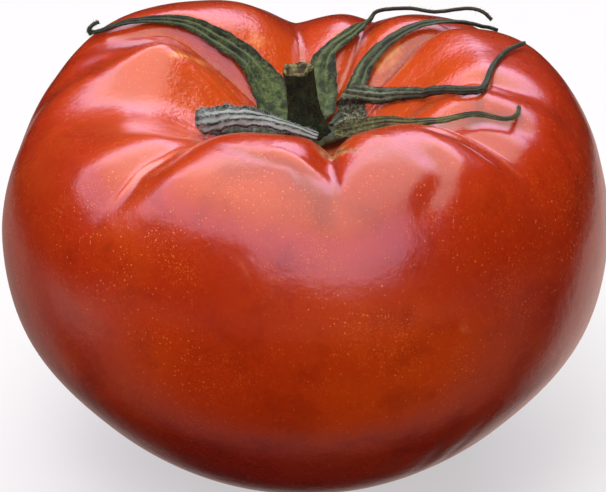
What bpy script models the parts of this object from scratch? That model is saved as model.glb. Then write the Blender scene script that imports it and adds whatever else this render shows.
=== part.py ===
"""Beefsteak tomato: a lobed fruit resting on a small flat spot, with the stub of its stalk,
the disc of the calyx and six dried, twisted sepals lying in the pit and over the shoulders.

Lengths are given in millimetres and turned into metres when the meshes are made. +Z is up, the
foot of the fruit stands on z = 0 and the axis of the fruit is the Z axis. Azimuths are in
degrees, counted from +X towards +Y.
"""

import math

import bmesh
import bpy
from mathutils import Vector
from mathutils.bvhtree import BVHTree

MM = 0.001
CLEARANCE = 0.35  # smallest gap between a sepal and the skin of the fruit

# --- fruit ---------------------------------------------------------------------------------------
# One side of the fruit as (distance from the axis, height): stem pit, shoulder, widest point, foot.
FRUIT_PROFILE = (
    (0.0, 54.5),
    (5.0, 54.8),
    (11.0, 57.3),
    (17.5, 62.6),
    (24.0, 67.0),
    (30.5, 67.6),
    (39.5, 64.0),
    (45.3, 55.5),
    (47.9, 42.4),
    (45.4, 28.0),
    (36.2, 15.5),
    (26.0, 7.0),
    (16.0, 2.6),
    (9.0, 0.0),
    (0.0, 0.0),
)
FRUIT_SEGMENTS = 80  # around the axis
FRUIT_RINGS = 32  # from the pit to the foot

# Furrows between the lobes. They run along the profile, where 0 is the pit and 1 is the foot.
# (azimuth at the pit, azimuth at the outer end, start, deepest, end, depth, half width in degrees,
# sharpness of its floor)
FURROWS = (
    (281, 276, 0.06, 0.33, 0.52, 3.2, 6.0, 1.45),
    (237, 225, 0.06, 0.36, 0.58, 3.2, 8.5, 1.6),
    (212, 212, 0.10, 0.25, 0.44, 2.4, 22.0, 2.2),
    (315, 325, 0.06, 0.36, 0.58, 3.0, 7.5, 1.45),
    (322, 338, 0.22, 0.37, 0.50, 1.2, 6.0, 1.7),
    (353, 349, 0.10, 0.33, 0.52, 1.4, 6.0, 1.7),
    (47, 35, 0.06, 0.30, 0.58, 3.0, 7.0, 1.45),
    (67, 73, 0.06, 0.32, 0.60, 2.8, 7.0, 1.45),
    (92, 92, 0.06, 0.32, 0.65, 4.0, 10.0, 1.45),
    (126, 160, 0.06, 0.30, 0.52, 2.6, 6.5, 1.6),
    (134, 178, 0.06, 0.30, 0.62, 2.0, 7.0, 1.8),
)

# Lobes that stand above or below the common crest: (azimuth, half width in degrees, rise).
LOBES = (
    (0, 20, 0.7),
    (30, 20, 1.5),
    (60, 20, -0.7),
    (90, 20, -1.2),
    (120, 22, 1.0),
    (150, 22, 2.6),
    (182, 20, -3.9),
    (205, 20, -2.5),
)

# --- stalk and calyx -----------------------------------------------------------------------------
STALK_FOOT = (0.3, 0.0, 57.9)
STALK_TOP = (-1.2, 1.0, 67.7)
# (share of the height, radius)
STALK_PROFILE = (
    (0.0, 2.95),
    (0.14, 2.65),
    (0.35, 2.35),
    (0.65, 2.2),
    (0.86, 2.25),
    (0.95, 2.4),
    (1.0, 2.25),
)
STALK_RIBS = 5
STALK_RIB_HEIGHT = 0.12
STALK_SEGMENTS = 20

DISC_CENTRE = (0.6, 0.0, 55.15)
# (distance from the centre of the disc, height above its lowest point), from top to bottom
DISC_PROFILE = (
    (0.0, 2.4),
    (2.4, 2.35),
    (3.2, 1.95),
    (3.5, 1.25),
    (3.2, 0.55),
    (2.2, 0.05),
    (0.0, 0.0),
)
DISC_SEGMENTS = 24
MERGE_DISTANCE = 0.00005  # in metres

# --- sepals --------------------------------------------------------------------------------------
# Stations along each sepal from the disc to the tip: (x, y, z, width). Where a sepal twists or
# folds free of the skin, its stations carry three more numbers, the direction of its width.
SEPALS = {
    "sepal_back_left": (
        (-2.5, 3.0, 57.4, 3.0),
        (-4.5, 7.0, 57.6, 5.2),
        (-6.0, 11.0, 60.0, 5.8),
        (-9.5, 14.0, 64.0, 4.1),
        (-14.0, 15.4, 66.7, 3.4),
        (-19.5, 16.5, 69.2, 2.0),
        (-26.5, 17.0, 69.0, 1.3),
        (-33.0, 17.5, 66.7, 1.0),
        (-34.5, 17.5, 67.3, 0.9),
        (-34.0, 17.5, 68.3, 0.8),
        (-33.0, 17.5, 68.8, 0.7),
    ),
    "sepal_back": (
        (2.0, 4.5, 57.1, 2.8),
        (2.5, 8.0, 57.2, 4.5),
        (2.7, 12.0, 58.7, 5.1),
        (2.8, 16.0, 61.2, 4.6),
        (4.0, 19.0, 63.2, 3.0),
        (8.0, 23.3, 65.0, 1.9),
        (10.5, 26.2, 65.7, 1.5),
        (12.0, 27.0, 67.1, 1.2),
        (17.0, 25.5, 68.1, 0.9),
        (21.0, 24.2, 68.0, 0.9),
        (26.0, 23.6, 68.8, 0.8),
        (28.5, 23.2, 68.5, 0.8),
        (30.2, 22.4, 67.3, 0.7),
    ),
    "sepal_back_right": (
        (4.2, 3.1, 57.0, 1.4),
        (6.0, 6.5, 57.3, 2.0),
        (7.5, 10.0, 59.0, 2.7),
        (8.8, 12.2, 61.0, 3.1),
        (10.2, 14.5, 63.1, 2.6),
        (14.0, 17.0, 66.1, 1.8),
        (19.5, 19.7, 67.7, 1.4),
        (26.0, 21.4, 67.2, 1.1),
        (31.0, 19.8, 66.2, 0.7),
    ),
    "sepal_right": (
        (5.2, 1.2, 57.4, 2.0, 0.6, -0.8, 0.0),
        (7.8, 3.8, 57.8, 3.6, 1.0, -0.2, 0.1),
        (7.6, 5.4, 58.8, 4.0, 1.0, 0.0, 0.2),
        (6.6, 6.5, 60.0, 3.6, 0.9, 0.0, 0.4),
        (6.4, 6.0, 61.4, 3.0, 0.6, 0.6, 0.4),
        (7.6, 5.2, 61.8, 2.8, 0.2, 0.4, 0.9),
        (11.0, 5.2, 61.3, 2.9, 0.0, 0.6, 0.8),
        (14.0, 3.7, 61.9, 2.4, 0.0, 0.6, 0.8),
        (18.0, -1.5, 64.2, 1.7, 0.0, 0.5, 0.8),
        (22.0, -9.4, 67.8, 1.4, -0.2, 0.5, 0.8),
        (26.0, -10.8, 68.6, 1.3, -0.4, 0.4, 0.8),
        (27.5, -8.5, 68.7, 1.1, -0.8, -0.2, 0.5),
        (29.0, -2.0, 69.1, 0.9, -0.8, -0.2, 0.5),
        (31.5, 4.5, 69.1, 0.8, -0.6, 0.6, 0.5),
        (34.6, 9.6, 68.4, 0.7, -0.6, 0.6, 0.5),
    ),
    "sepal_front_right": (
        (4.6, -1.5, 57.6, 2.2, 0.1, -0.8, -0.6),
        (7.5, -1.5, 58.4, 3.0, 0.1, -0.8, -0.6),
        (12.4, -5.0, 61.0, 1.8, 0.1, -0.8, -0.6),
        (16.0, -13.0, 64.3, 1.3, 0.1, -0.8, -0.6),
        (20.5, -16.2, 66.0, 1.1, 0.1, -0.8, -0.6),
        (25.5, -15.8, 66.8, 1.0, 0.1, -0.8, -0.6),
        (30.0, -16.2, 66.2, 0.8, 0.1, -0.8, -0.6),
        (31.8, -15.2, 66.4, 0.7, 0.6, -0.6, -0.6),
        (32.3, -13.2, 67.0, 0.7, 0.8, 0.2, -0.6),
    ),
    "sepal_front_left": (
        (-3.4, -0.8, 57.4, 3.0, 0.0, 0.8, 0.6),
        (-7.5, -0.5, 58.9, 4.8, 0.0, 0.8, 0.6),
        (-11.5, -2.4, 60.0, 5.0, -0.1, 0.6, 0.8),
        (-15.0, -4.8, 60.9, 4.2, -0.3, 0.4, 0.9),
        (-16.5, -6.2, 61.5, 3.6, -0.3, 0.4, 0.9),
        (-15.4, -7.6, 61.9, 3.6, -0.3, 0.4, 0.9),
        (-11.5, -5.6, 61.9, 2.8, -0.1, 0.6, 0.8),
        (-7.0, -3.6, 60.9, 2.3, 0.0, 0.8, 0.6),
        (-3.0, -3.9, 60.0, 1.9, 0.0, 0.8, 0.6),
        (2.0, -4.4, 58.4, 0.9, 0.0, 0.8, 0.6),
    ),
}
SEPAL_THICKNESS = 0.75
SEPAL_CUP = 0.12  # rise of the edges above the midrib, as a share of the width
SEPAL_STEPS = 4  # sections between two stations
SEPAL_SECTION = 10  # corners of one section

# --- materials: (base colour, roughness) -----------------------------------------------------------
SKIN = ((0.62, 0.045, 0.012), 0.22)
STALK_BARK = ((0.05, 0.06, 0.03), 0.75)
CALYX_GREEN = ((0.07, 0.11, 0.04), 0.7)
SEPAL_COLOURS = {
    "sepal_back_left": (0.09, 0.15, 0.07),
    "sepal_back": (0.10, 0.17, 0.08),
    "sepal_back_right": (0.08, 0.13, 0.06),
    "sepal_right": (0.16, 0.22, 0.14),
    "sepal_front_right": (0.14, 0.20, 0.11),
    "sepal_front_left": (0.30, 0.33, 0.32),
}
SEPAL_ROUGHNESS = 0.7


def ease(x):
    """0 below 0, 1 above 1, and a smooth step between."""
    x = min(max(x, 0.0), 1.0)
    return x * x * (3.0 - 2.0 * x)


def turn(degrees):
    """An angle brought into the half-open range from -180 to 180."""
    return (degrees + 180.0) % 360.0 - 180.0


def through_points(a, b, c, d, u):
    """The curve through b and c, at share u of the way between them."""
    return 0.5 * (
        2.0 * b
        + (c - a) * u
        + (2.0 * a - 5.0 * b + 4.0 * c - d) * u**2
        + (3.0 * b - a - 3.0 * c + d) * u**3
    )


def profile_knot(index):
    """A knot of the profile. Past either end, the profile goes on as its own mirror image."""
    last = len(FRUIT_PROFILE) - 1
    inside = min(abs(index), 2 * last - index)
    radius, height = FRUIT_PROFILE[inside]
    return Vector((radius if inside == index else -radius, height))


def fruit_profile(way):
    """Radius and height at a share of the way from the pit to the foot."""
    last = len(FRUIT_PROFILE) - 1
    place = min(max(way, 0.0), 1.0) * last
    index = min(int(place), last - 1)
    knots = [profile_knot(index + step) for step in (-1, 0, 1, 2)]
    return through_points(*knots, place - index)


def profile_normal(way):
    """The outward direction of the profile, square to it."""
    step = 0.001
    along = fruit_profile(min(way + step, 1.0)) - fruit_profile(max(way - step, 0.0))
    return Vector((-along.y, along.x)).normalized()


def furrow_depth(way, azimuth):
    """How far all the furrows together press the skin in at one place."""
    depth = 0.0
    for at_pit, at_end, start, deepest, end, deep, half_width, sharpness in FURROWS:
        middle = at_pit + (at_end - at_pit) * ease((way - start) / (end - start))
        across = abs(turn(azimuth - middle)) / half_width
        along = ease((way - start) / (deepest - start)) * ease((end - way) / (end - deepest))
        depth += deep * along * math.exp(-(across**sharpness))
    return depth


def lobe_rise(way, azimuth):
    """How far the crest stands above or below the common height at one place."""
    crest = ease((way - 0.08) / 0.25) * ease((0.62 - way) / 0.25)
    return crest * sum(
        rise * math.exp(-((turn(azimuth - middle) / half_width) ** 2))
        for middle, half_width, rise in LOBES
    )


def skin_point(way, azimuth):
    """A point of the skin, by its share of the way from pit to foot and its azimuth."""
    radius, height = fruit_profile(way) - profile_normal(way) * furrow_depth(way, azimuth)
    height = max(height + lobe_rise(way, azimuth), 0.0)
    angle = math.radians(azimuth)
    return Vector((radius * math.cos(angle), radius * math.sin(angle), height))


def clear_scene():
    """Remove every object the file opened with."""
    for thing in list(bpy.data.objects):
        bpy.data.objects.remove(thing, do_unlink=True)


def make_material(name, colour, roughness):
    """A plain Principled material."""
    material = bpy.data.materials.new(name)
    material.use_nodes = True
    shader = material.node_tree.nodes["Principled BSDF"]
    shader.inputs["Base Color"].default_value = (*colour, 1.0)
    shader.inputs["Roughness"].default_value = roughness
    shader.inputs["Metallic"].default_value = 0.0
    return material


def add_part(name, shape, origin, material, collection):
    """Turn a bmesh in millimetres into an object in metres with its origin at a given place."""
    bmesh.ops.recalc_face_normals(shape, faces=shape.faces)
    bmesh.ops.translate(shape, verts=shape.verts, vec=-Vector(origin))
    bmesh.ops.scale(shape, verts=shape.verts, vec=(MM, MM, MM))
    mesh = bpy.data.meshes.new(name)
    shape.to_mesh(mesh)
    shape.free()
    mesh.materials.append(material)
    mesh.polygons.foreach_set("use_smooth", [True] * len(mesh.polygons))
    part = bpy.data.objects.new(name, mesh)
    part.location = Vector(origin) * MM
    collection.objects.link(part)
    return part


def fruit_shape():
    """The fruit: a sphere whose rings are laid along the profile, furrows and lobes."""
    shape = bmesh.new()
    bmesh.ops.create_uvsphere(shape, u_segments=FRUIT_SEGMENTS, v_segments=FRUIT_RINGS, radius=1.0)
    for corner in shape.verts:
        way = math.acos(min(max(corner.co.z, -1.0), 1.0)) / math.pi
        azimuth = math.degrees(math.atan2(corner.co.y, corner.co.x))
        corner.co = skin_point(way, azimuth)
    bmesh.ops.recalc_face_normals(shape, faces=shape.faces)
    return shape


def loft(rings):
    """A closed body through rings of equal corner counts, with a flat face on each end."""
    shape = bmesh.new()
    rows = [[shape.verts.new(point) for point in ring] for ring in rings]
    for row, following in zip(rows, rows[1:]):
        for k in range(len(row)):
            after = (k + 1) % len(row)
            shape.faces.new((row[k], row[after], following[after], following[k]))
    shape.faces.new(rows[0])
    shape.faces.new(rows[-1])
    return shape


def stalk_shape():
    """The stub of the stalk: a ribbed, leaning taper that widens at its foot and its cut end."""
    foot = Vector(STALK_FOOT)
    lean = Vector(STALK_TOP) - foot
    rings = []
    for share, radius in STALK_PROFILE:
        centre = foot + lean * share
        ring = []
        for k in range(STALK_SEGMENTS):
            angle = 2.0 * math.pi * k / STALK_SEGMENTS
            reach = radius + STALK_RIB_HEIGHT * math.cos(STALK_RIBS * angle)
            ring.append(centre + Vector((reach * math.cos(angle), reach * math.sin(angle), 0.0)))
        rings.append(ring)
    return loft(rings)


def add_disc(name, material, collection):
    """The disc that joins stalk and sepals: half its outline, turned about its own axis."""
    outline = bpy.data.meshes.new(name)
    corners = [(radius * MM, 0.0, height * MM) for radius, height in DISC_PROFILE]
    outline.from_pydata(corners, [(k, k + 1) for k in range(len(corners) - 1)], [])
    outline.materials.append(material)
    disc = bpy.data.objects.new(name, outline)
    disc.location = Vector(DISC_CENTRE) * MM
    screw = disc.modifiers.new("turn", "SCREW")
    screw.steps = DISC_SEGMENTS
    screw.render_steps = DISC_SEGMENTS
    screw.use_merge_vertices = True
    screw.merge_threshold = MERGE_DISTANCE
    screw.use_smooth_shade = True
    collection.objects.link(disc)
    return disc


def station_sides(stations, skin):
    """The width direction at every station, taken from the skin where none is given."""
    places = [Vector(row[:3]) for row in stations]
    sides = []
    for k, row in enumerate(stations):
        if len(row) > 4:
            sides.append(Vector(row[4:7]).normalized())
            continue
        along = places[min(k + 1, len(places) - 1)] - places[max(k - 1, 0)]
        outward = skin.find_nearest(places[k])[1]
        sides.append(along.cross(outward).normalized())
    return sides


def sepal_sections(stations, skin):
    """(centre, tangent, side, width) of every section of a sepal, from the disc to the tip."""
    places = [Vector(row[:3]) for row in stations]
    sides = station_sides(stations, skin)
    last = len(stations) - 1
    before = [places[0] * 2.0 - places[1]]
    after = [places[last] * 2.0 - places[last - 1]]
    padded = before + places + after
    found = []
    for step in range(last * SEPAL_STEPS + 1):
        k = min(step // SEPAL_STEPS, last - 1)
        u = step / SEPAL_STEPS - k
        centre = through_points(*padded[k : k + 4], u)
        ahead = through_points(*padded[k : k + 4], u + 0.01)
        tangent = (ahead - centre).normalized()
        side = sides[k].lerp(sides[k + 1], ease(u))
        side = (side - tangent * side.dot(tangent)).normalized()
        width = stations[k][3] + (stations[k + 1][3] - stations[k][3]) * u
        found.append((centre, tangent, side, width))
    return found


def section_ring(centre, tangent, side, width):
    """One flat oval section, its edges cupped away from the fruit."""
    outward = side.cross(tangent)
    thickness = min(SEPAL_THICKNESS, width)
    ring = []
    for k in range(SEPAL_SECTION):
        angle = 2.0 * math.pi * k / SEPAL_SECTION
        across = 0.5 * width * math.cos(angle)
        cup = SEPAL_CUP * width * math.cos(angle) ** 2
        height = 0.5 * thickness * math.sin(angle) + cup
        ring.append(centre + side * across + outward * height)
    return ring


def lift_needed(ring, skin):
    """How far a section has to rise, and which way, to clear the skin."""
    worst = 0.0
    direction = Vector((0.0, 0.0, 1.0))
    for point in ring:
        nearest, outward, _, _ = skin.find_nearest(point)
        short = CLEARANCE - (point - nearest).dot(outward)
        if short > worst:
            worst = short
            direction = outward
    return direction * worst


def sepal_shape(stations, skin):
    """A sepal: flat oval sections along its stations, each one lifted clear of the skin."""
    rings = [section_ring(*section) for section in sepal_sections(stations, skin)]
    for _ in range(2):
        lifts = [lift_needed(ring, skin) for ring in rings]
        for k, ring in enumerate(rings):
            near = lifts[max(k - 1, 0) : k + 2]
            lift = max(near, key=lambda step: step.length)
            rings[k] = [point + lift for point in ring]
    return loft(rings)


def build():
    """Make every part of the tomato in its own collection."""
    clear_scene()
    tomato = bpy.data.collections.new("tomato")
    bpy.context.scene.collection.children.link(tomato)

    fruit = fruit_shape()
    skin = BVHTree.FromBMesh(fruit)
    add_part("fruit", fruit, (0.0, 0.0, 0.0), make_material("tomato_skin", *SKIN), tomato)
    bark = make_material("stalk_bark", *STALK_BARK)
    add_part("stem", stalk_shape(), STALK_FOOT, bark, tomato)
    add_disc("calyx_disc", make_material("calyx_green", *CALYX_GREEN), tomato)
    for name, stations in SEPALS.items():
        leaf = make_material(name + "_leaf", SEPAL_COLOURS[name], SEPAL_ROUGHNESS)
        add_part(name, sepal_shape(stations, skin), stations[0][:3], leaf, tomato)


build()
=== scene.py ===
"""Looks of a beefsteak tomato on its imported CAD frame: lobed glossy fruit, stalk stub, calyx disc
and six dried, twisted sepals.

Shapes are worked out in millimetres in the CAD frame (+Z up, foot of the fruit on z = 0) and
turned into metres when the meshes are made. Azimuths are in degrees from +X towards +Y. A place
on the fruit is (way, azimuth), where way is 0 in the stem pit and 1 at the foot.
"""

import math
import random

import bpy
import numpy as np
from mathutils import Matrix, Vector, noise
from mathutils.bvhtree import BVHTree


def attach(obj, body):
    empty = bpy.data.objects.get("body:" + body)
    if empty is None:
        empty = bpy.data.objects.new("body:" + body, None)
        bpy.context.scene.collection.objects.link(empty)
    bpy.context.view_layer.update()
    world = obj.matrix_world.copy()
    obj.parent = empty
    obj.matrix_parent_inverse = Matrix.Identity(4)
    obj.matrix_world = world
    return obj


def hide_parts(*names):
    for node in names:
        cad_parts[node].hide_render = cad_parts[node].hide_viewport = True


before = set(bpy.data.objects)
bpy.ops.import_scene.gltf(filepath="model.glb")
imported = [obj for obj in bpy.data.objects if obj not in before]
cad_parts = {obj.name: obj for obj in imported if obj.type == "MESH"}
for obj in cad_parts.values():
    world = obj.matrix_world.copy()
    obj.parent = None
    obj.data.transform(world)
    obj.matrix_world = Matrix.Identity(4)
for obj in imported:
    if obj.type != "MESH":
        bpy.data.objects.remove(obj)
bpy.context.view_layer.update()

MM = 0.001

# --- fruit: the same outline, furrows and lobes as the CAD part ---
FRUIT_PROFILE = np.array((
    (0.0, 54.5), (5.0, 54.8), (11.0, 57.3), (17.5, 62.6), (24.0, 67.0), (30.5, 67.6), (39.5, 64.0),
    (45.3, 55.5), (47.9, 42.4), (45.4, 28.0), (36.2, 15.5), (26.0, 7.0), (16.0, 2.6), (9.0, 0.0),
    (0.0, 0.0),
))
# (azimuth at the pit, azimuth at the outer end, start, deepest, end, depth, half width in degrees,
# sharpness of the floor)
FURROWS = (
    (281, 276, 0.06, 0.33, 0.52, 3.2, 6.0, 1.45),
    (237, 225, 0.06, 0.36, 0.58, 3.2, 8.5, 1.6),
    (212, 212, 0.10, 0.25, 0.44, 2.4, 22.0, 2.2),
    (315, 325, 0.06, 0.36, 0.58, 3.0, 7.5, 1.45),
    (322, 338, 0.22, 0.37, 0.50, 1.2, 6.0, 1.7),
    (353, 349, 0.10, 0.33, 0.52, 1.4, 6.0, 1.7),
    (47, 35, 0.06, 0.30, 0.58, 3.0, 7.0, 1.45),
    (67, 73, 0.06, 0.32, 0.60, 2.8, 7.0, 1.45),
    (92, 92, 0.06, 0.32, 0.65, 4.0, 10.0, 1.45),
    (126, 160, 0.06, 0.30, 0.52, 2.6, 6.5, 1.6),
    (134, 178, 0.06, 0.30, 0.62, 2.0, 7.0, 1.8),
)
# (azimuth, half width in degrees, rise)
LOBES = (
    (0, 20, 0.7), (30, 20, 1.5), (60, 20, -0.7), (90, 20, -1.2), (120, 22, 1.0), (150, 22, 2.6),
    (182, 20, -3.9), (205, 20, -2.5),
)
WAVER = 0.8  # sideways bends of the furrows, in degrees
FRUIT_SEGMENTS = 440
FRUIT_RINGS = 210
RING_CROWDING = 0.085  # how much closer the rings lie near the lobes
SCAR_CENTRE = (0.6, -0.4)

# Fine lines pressed into the skin or standing up from it: (places, half width, depth, darkness of
# the painted shade in the crease, paleness as painted highlight on the ridge). A negative depth is
# a ridge.
LINES = (
    # creases along the floors of the furrows, darkened with painted shade
    (((0.20, 280), (0.30, 279), (0.362, 278.2), (0.404, 277.3), (0.45, 276)), 0.55, 0.35, 0.9, 0),
    (((0.16, 47), (0.216, 44), (0.308, 41), (0.361, 40), (0.44, 37)), 1.5, 0.30, 1.0, 0),
    (((0.14, 67), (0.187, 67), (0.252, 69), (0.387, 72), (0.46, 73)), 0.8, 0.35, 0.6, 0),
    (((0.16, 92), (0.217, 91), (0.30, 92), (0.42, 92)), 1.0, 0.30, 0.5, 0),
    (((0.15, 130), (0.214, 135), (0.25, 143), (0.294, 150), (0.361, 156), (0.45, 160)),
     1.3, 0.24, 0.8, 0),
    (((0.16, 136), (0.214, 142), (0.317, 160), (0.386, 167), (0.48, 174)), 1.6, 0.14, 0.35, 0),
    # edge of the left lobe: a ridge with a painted highlight, and a line of painted shade on its
    # front side
    (((0.284, 228.8), (0.343, 229.6), (0.375, 229.3), (0.404, 228.0), (0.436, 228.4),
      (0.454, 228.0), (0.471, 226.6), (0.483, 224.9)), 0.75, -0.26, 0, 0.8),
    (((0.29, 232.5), (0.343, 233.4), (0.375, 232.8), (0.404, 231.4), (0.436, 231.2),
      (0.46, 230.4), (0.49, 228)), 1.3, 0.10, 0.55, 0),
    # crease over the front left lobe, darkened with painted shade
    (((0.358, 241.1), (0.366, 248.2), (0.373, 254.4), (0.379, 259.2), (0.382, 266.2),
      (0.399, 269.2), (0.419, 269.9)), 0.5, 0.22, 0.7, 0),
    # S shaped ridge beside the front crease, with a painted highlight
    (((0.355, 257), (0.363, 262.0), (0.375, 268.6), (0.392, 275.0), (0.41, 275.2)),
     0.7, -0.35, 0, 0.5),
    # right front lobe: a C shaped hollow with painted shade, and the ridge beyond it with a painted
    # highlight
    (((0.362, 298.2), (0.385, 301.0), (0.41, 301.8), (0.428, 300.2), (0.442, 296.6),
      (0.451, 294.5), (0.475, 292.2)), 2.2, 0.40, 0.20, 0),
    (((0.362, 303.0), (0.385, 307.3), (0.409, 307.0), (0.434, 305.0)), 1.6, -0.16, 0, 0.2),
    # hollow on the left of the front crease, darkened with painted shade
    (((0.378, 264.0), (0.391, 266.9), (0.41, 270.6), (0.425, 272.8), (0.446, 273.4),
      (0.478, 274.3)), 2.0, 0.12, 0.75, 0),
    # ridge in the right front furrow with a painted highlight, and a line of painted shade beside
    # it
    (((0.32, 306), (0.34, 310.2), (0.361, 314.5), (0.382, 317.8), (0.405, 320.2),
      (0.428, 321.0), (0.463, 322.6)), 0.5, -0.32, 0, 0.9),
    (((0.33, 304), (0.35, 309), (0.37, 312.0), (0.392, 315.0), (0.42, 317.0), (0.45, 318.5)),
     0.8, 0.25, 0.5, 0),
    # creases over the dimple on the right, darkened with painted shade
    (((0.335, 327.0), (0.354, 332.0), (0.344, 336.0), (0.335, 339)), 0.7, 0.16, 0.9, 0),
    (((0.35, 322), (0.357, 328), (0.372, 334), (0.395, 337)), 0.9, 0.18, 0.8, 0),
    # ridge on the back left lobe with a painted highlight
    (((0.206, 131), (0.25, 146.0), (0.297, 159.5), (0.33, 164)), 0.7, -0.25, 0, 0.7),
    # faint upright creases low on the front right, faintly darkened with painted shade
    (((0.618, 292.9), (0.659, 291.5), (0.73, 291)), 1.3, 0.07, 0.1, 0),
    (((0.62, 300), (0.689, 300.8), (0.76, 301)), 1.5, 0.08, 0.12, 0),
    (((0.63, 309), (0.70, 308), (0.78, 309)), 1.3, 0.07, 0.1, 0),
)
# Ragged spots: (way, azimuth, radius, height, cork, paleness, yellowness)
SPOTS = (
    (0.318, 275.3, 1.3, 0.06, 0.9, 0, 0), (0.312, 277.6, 1.3, 0.06, 0.8, 0, 0),
    (0.305, 279.6, 1.5, 0.06, 0.9, 0, 0.3), (0.322, 280.6, 1.2, 0.05, 0.8, 0, 0.3),
    (0.338, 281.5, 1.3, 0.05, 0.8, 0, 0.2), (0.350, 284.0, 1.1, 0.05, 0.7, 0, 0),
    (0.314, 289.2, 1.2, 0.05, 0.45, 0.2, 0), (0.333, 291.6, 1.5, 0.05, 0.5, 0.2, 0),
    (0.347, 294.1, 1.1, 0.05, 0.4, 0.2, 0),
    (0.225, 50.9, 1.0, 0.05, 0.2, 0, 0.5), (0.241, 49.7, 1.2, 0.05, 0.2, 0, 0.6),
    (0.257, 48.8, 1.1, 0.05, 0.2, 0, 0.45),
    (0.235, 41.0, 1.3, -0.1, 0.55, 0, 0), (0.262, 42.1, 1.5, -0.1, 0.5, 0, 0),
    (0.268, 159.5, 0.5, 0, 0, 0, 0.4), (0.262, 157.5, 0.6, 0, 0, 0, 0.6),
    (0.256, 155.3, 0.6, 0, 0.1, 0, 0.7), (0.250, 153.2, 0.7, 0, 0, 0, 0.8),
    (0.245, 151.0, 0.7, 0, 0, 0, 0.8), (0.242, 148.6, 0.7, 0, 0.1, 0, 0.7),
    (0.239, 146.2, 0.6, 0, 0, 0, 0.6), (0.237, 143.6, 0.6, 0, 0, 0, 0.5),
    (0.235, 141.0, 0.5, 0, 0, 0, 0.35),
    (0.245, 112.0, 1.6, 0.03, 0.0, 0.3, 0.25), (0.563, 299.0, 0.5, 0.05, 0.8, 0, 0.2),
)
# Pale fine scratches, by their places
SCRATCHES = (
    ((0.492, 257.0), (0.502, 258.6), (0.514, 260.2)),
    ((0.488, 259.0), (0.497, 260.3)),
)

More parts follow.
